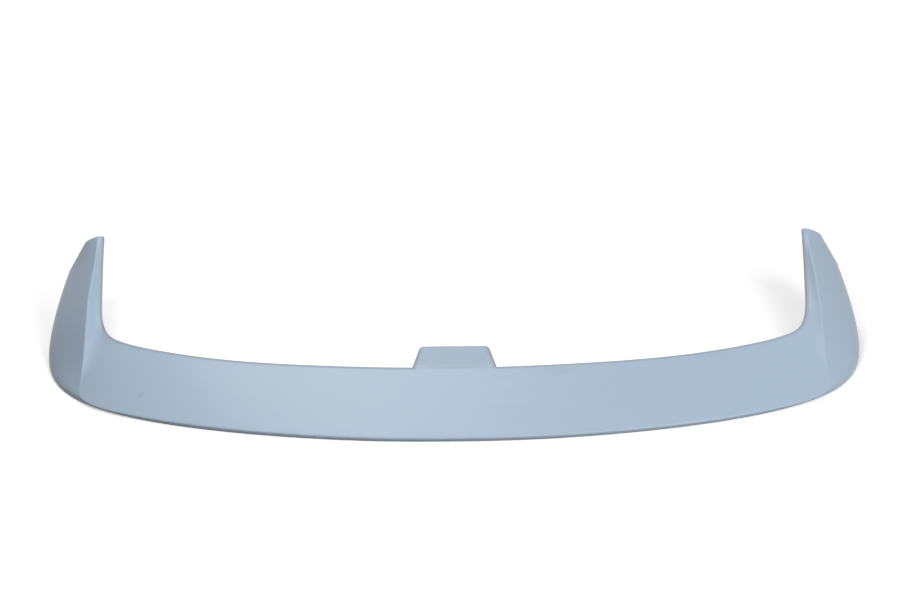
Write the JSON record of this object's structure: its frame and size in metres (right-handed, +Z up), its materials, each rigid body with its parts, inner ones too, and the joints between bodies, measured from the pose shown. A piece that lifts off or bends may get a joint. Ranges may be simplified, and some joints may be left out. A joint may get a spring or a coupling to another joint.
{
  "type": "car hatch spoiler",
  "caption": "One-piece hatch spoiler: a wide curved blade with a trailing lip, side arms that sweep up beside the rear glass, and a centre tab.",
  "frame": {"origin": "middle of the plan box, on the plane that the trailing lip stands on", "axes": "+X across the car, -Y to the car's rear where the trailing lip is, +Z up; the arms reach towards +Y"},
  "size_m": [1.1846, 0.3886, 0.138],
  "materials": {
    "primer": "satin blue-grey primer, unpainted"
  },
  "bodies": {
    "root": {"spoiler": "primer"}
  },
  "joints": []
}
